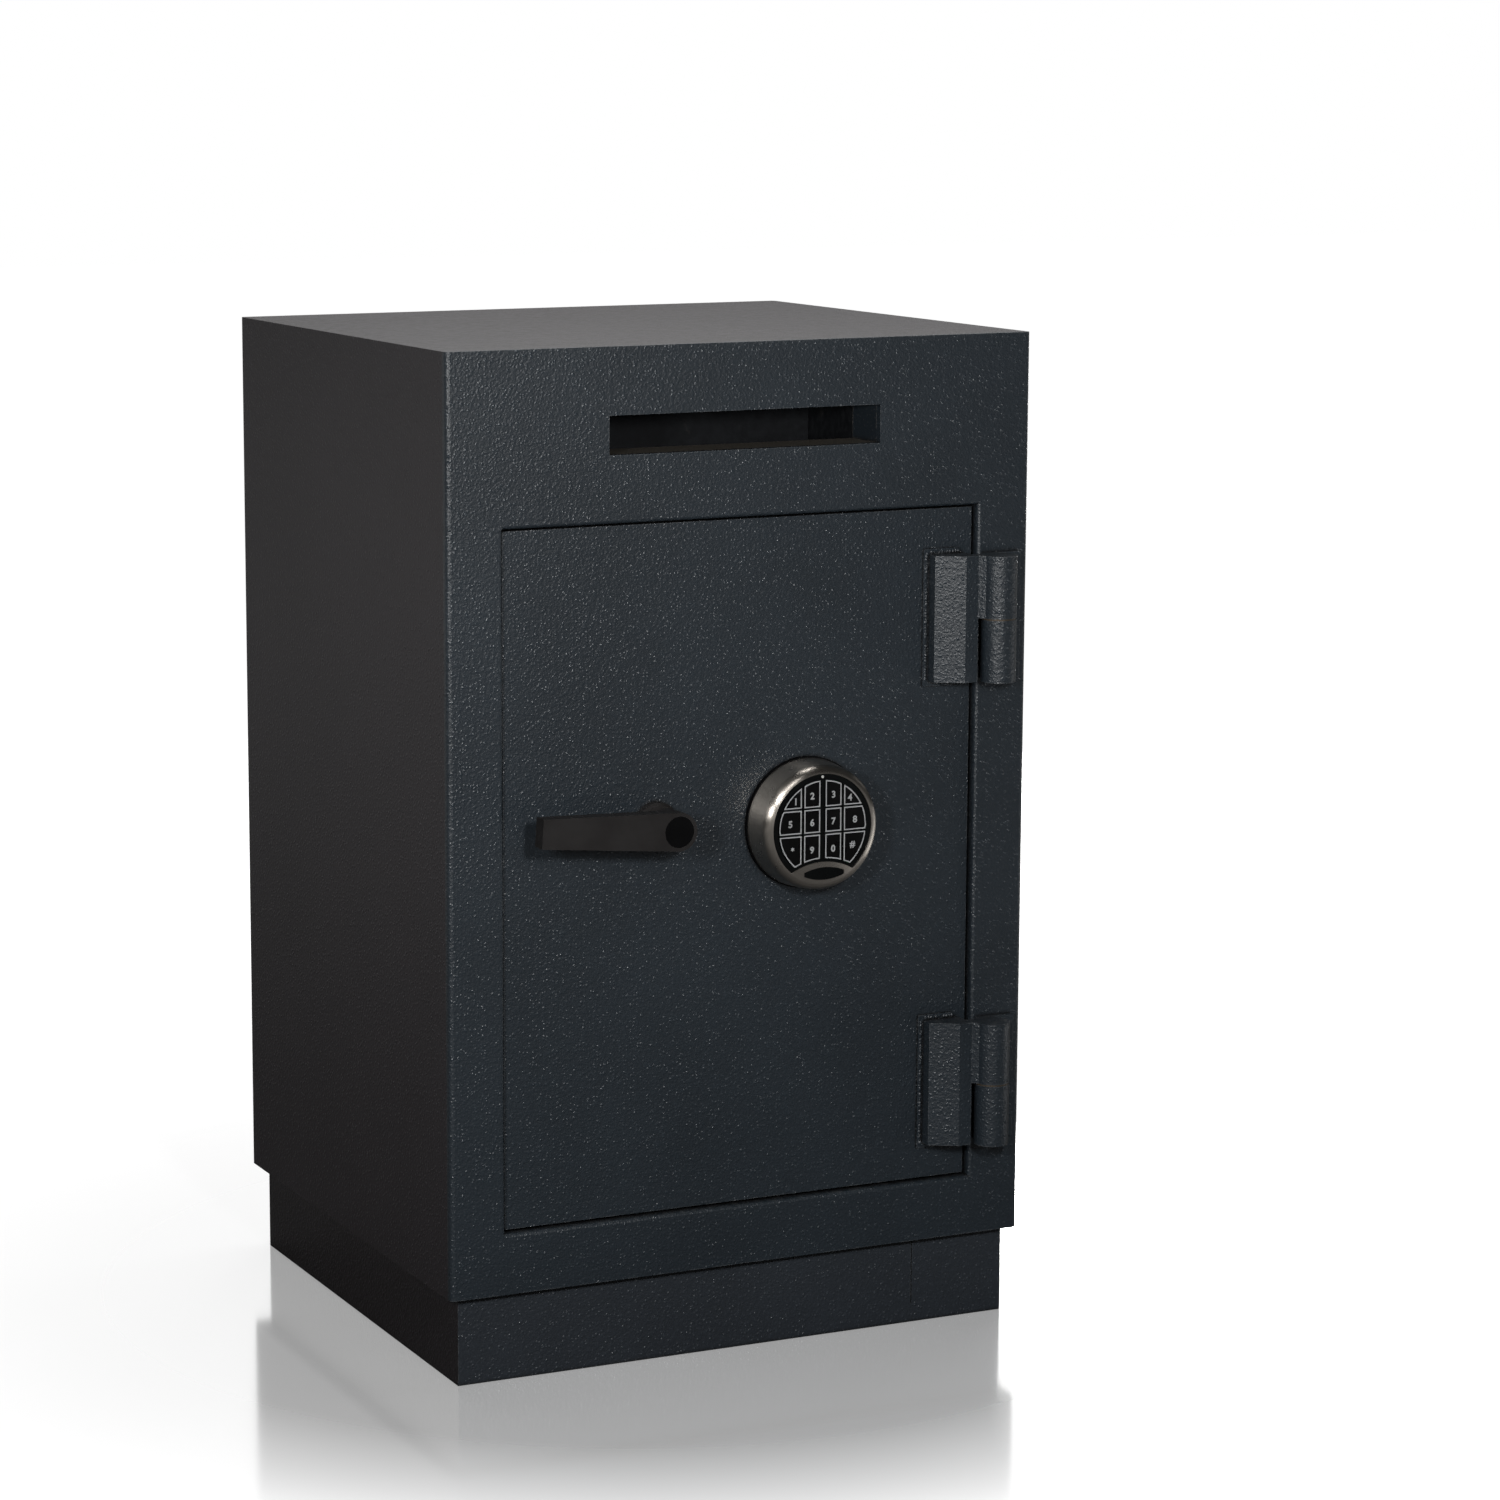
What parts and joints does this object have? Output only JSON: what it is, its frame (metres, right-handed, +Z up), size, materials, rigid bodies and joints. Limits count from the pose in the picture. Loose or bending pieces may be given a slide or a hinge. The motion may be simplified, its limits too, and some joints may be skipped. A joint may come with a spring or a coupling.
{
  "type": "deposit safe",
  "caption": "Upright steel safe on a plinth with a wide deposit slot above an inset door on outside hinges, with a lever handle and a round keypad.",
  "frame": {"origin": "on the floor under the middle of the cabinet, which is also the middle of the four floor anchor holes", "axes": "+Z up, +X to the right seen from the front, the front and the door at -Y"},
  "size_m": [0.45, 0.434, 0.72],
  "materials": {
    "casing_paint": "structured powder coat, dark grey brown",
    "front_paint": "structured powder coat, anthracite",
    "bare_steel": "turned and milled steel",
    "zinc_plate": "zinc plated steel",
    "hard_steel": "hardened steel, dark",
    "brass_metal": "turned bearing metal",
    "barrier_mix": "light mineral filling",
    "lever_black": "satin black brown lacquer",
    "base_black": "matt black moulding",
    "satin_nickel": "satin nickel plating",
    "fascia_black": "black foil, satin",
    "key_black": "black moulding with printed outline",
    "lamp_lens": "clear lens",
    "board_green": "circuit board",
    "battery_can": "printed steel can"
  },
  "bodies": {
    "cabinet": {"outer_casing": "casing_paint", "front_plate": "front_paint", "door_jamb": "front_paint", "inner_liner": "casing_paint", "barrier_fill": "barrier_mix", "anchor_sleeves": "bare_steel", "plinth_ring": "front_paint", "plinth_rails": "bare_steel", "plinth_bolts": "zinc_plate", "slot_throat": "casing_paint", "chute_tray": "casing_paint", "fishing_combs": "casing_paint", "chute_screws": "zinc_plate", "door_stops": "front_paint", "hinge_frame_leaf_upper": "front_paint", "hinge_frame_leaf_lower": "front_paint", "hinge_pins": "bare_steel", "hinge_washers": "hard_steel"},
    "door": {"door_plate": "front_paint", "door_pan": "front_paint", "boltwork_cover": "front_paint", "hinge_door_leaf_upper": "front_paint", "hinge_door_leaf_lower": "front_paint", "hinge_side_bar": "bare_steel", "bolt_guide_bar": "bare_steel", "guide_studs": "bare_steel", "hard_plate": "hard_steel", "lock_case": "zinc_plate", "door_screws": "zinc_plate", "handle_rosette": "lever_black", "spindle_bush": "brass_metal", "keypad_base": "base_black", "keypad_housing": "satin_nickel", "keypad_fascia": "fascia_black", "keypad_badge": "fascia_black", "keypad_board": "board_green", "keypad_battery": "battery_can", "keypad_lamp": "lamp_lens"},
    "handle": {"lever_handle": "lever_black", "handle_spindle": "bare_steel", "handle_screw": "base_black", "crank_cam": "bare_steel"},
    "boltwork": {"bolt_carriage": "zinc_plate", "locking_bolt_top": "bare_steel", "locking_bolt_middle": "bare_steel", "locking_bolt_bottom": "bare_steel", "bolt_screws": "zinc_plate"},
    "lock_bolt": {"lock_bolt": "bare_steel"},
    "key_1": {"key_1": "key_black"},
    "key_2": {"key_2": "key_black"},
    "key_3": {"key_3": "key_black"},
    "key_4": {"key_4": "key_black"},
    "key_5": {"key_5": "key_black"},
    "key_6": {"key_6": "key_black"},
    "key_7": {"key_7": "key_black"},
    "key_8": {"key_8": "key_black"},
    "key_star": {"key_star": "key_black"},
    "key_9": {"key_9": "key_black"},
    "key_0": {"key_0": "key_black"},
    "key_hash": {"key_hash": "key_black"}
  },
  "joints": [
    {"name": "door_swing", "type": "hinge", "parent": "cabinet", "child": "door", "pos_m": [0.192, -0.2176, 0.353], "axis": [0, 0, 1], "range_deg": [0, 180]},
    {"name": "handle_turn", "type": "hinge", "parent": "door", "child": "handle", "pos_m": [-0.067, -0.21, 0.388], "axis": [0, -1, 0], "range_deg": [0, 90]},
    {"name": "bolt_slide", "type": "slide", "parent": "door", "child": "boltwork", "axis": [-1, 0, 0], "range_m": [0, 0.025]},
    {"name": "lock_bolt_slide", "type": "slide", "parent": "door", "child": "lock_bolt", "axis": [0, 0, -1], "range_m": [0, 0.01]},
    {"name": "key_1_press", "type": "slide", "parent": "door", "child": "key_1", "axis": [0, 1, 0], "range_m": [0, 0.0008], "stiffness_N_per_m": 400, "springref_m": -0.002},
    {"name": "key_2_press", "type": "slide", "parent": "door", "child": "key_2", "axis": [0, 1, 0], "range_m": [0, 0.0008], "stiffness_N_per_m": 400, "springref_m": -0.002},
    {"name": "key_3_press", "type": "slide", "parent": "door", "child": "key_3", "axis": [0, 1, 0], "range_m": [0, 0.0008], "stiffness_N_per_m": 400, "springref_m": -0.002},
    {"name": "key_4_press", "type": "slide", "parent": "door", "child": "key_4", "axis": [0, 1, 0], "range_m": [0, 0.0008], "stiffness_N_per_m": 400, "springref_m": -0.002},
    {"name": "key_5_press", "type": "slide", "parent": "door", "child": "key_5", "axis": [0, 1, 0], "range_m": [0, 0.0008], "stiffness_N_per_m": 400, "springref_m": -0.002},
    {"name": "key_6_press", "type": "slide", "parent": "door", "child": "key_6", "axis": [0, 1, 0], "range_m": [0, 0.0008], "stiffness_N_per_m": 400, "springref_m": -0.002},
    {"name": "key_7_press", "type": "slide", "parent": "door", "child": "key_7", "axis": [0, 1, 0], "range_m": [0, 0.0008], "stiffness_N_per_m": 400, "springref_m": -0.002},
    {"name": "key_8_press", "type": "slide", "parent": "door", "child": "key_8", "axis": [0, 1, 0], "range_m": [0, 0.0008], "stiffness_N_per_m": 400, "springref_m": -0.002},
    {"name": "key_star_press", "type": "slide", "parent": "door", "child": "key_star", "axis": [0, 1, 0], "range_m": [0, 0.0008], "stiffness_N_per_m": 400, "springref_m": -0.002},
    {"name": "key_9_press", "type": "slide", "parent": "door", "child": "key_9", "axis": [0, 1, 0], "range_m": [0, 0.0008], "stiffness_N_per_m": 400, "springref_m": -0.002},
    {"name": "key_0_press", "type": "slide", "parent": "door", "child": "key_0", "axis": [0, 1, 0], "range_m": [0, 0.0008], "stiffness_N_per_m": 400, "springref_m": -0.002},
    {"name": "key_hash_press", "type": "slide", "parent": "door", "child": "key_hash", "axis": [0, 1, 0], "range_m": [0, 0.0008], "stiffness_N_per_m": 400, "springref_m": -0.002}
  ],
  "couplings": [
    {"joint": "bolt_slide", "follows": "handle_turn", "m_per_rad": 0.015915},
    {"joint": "lock_bolt_slide", "follows": "handle_turn", "m_per_rad": 0.006366}
  ]
}
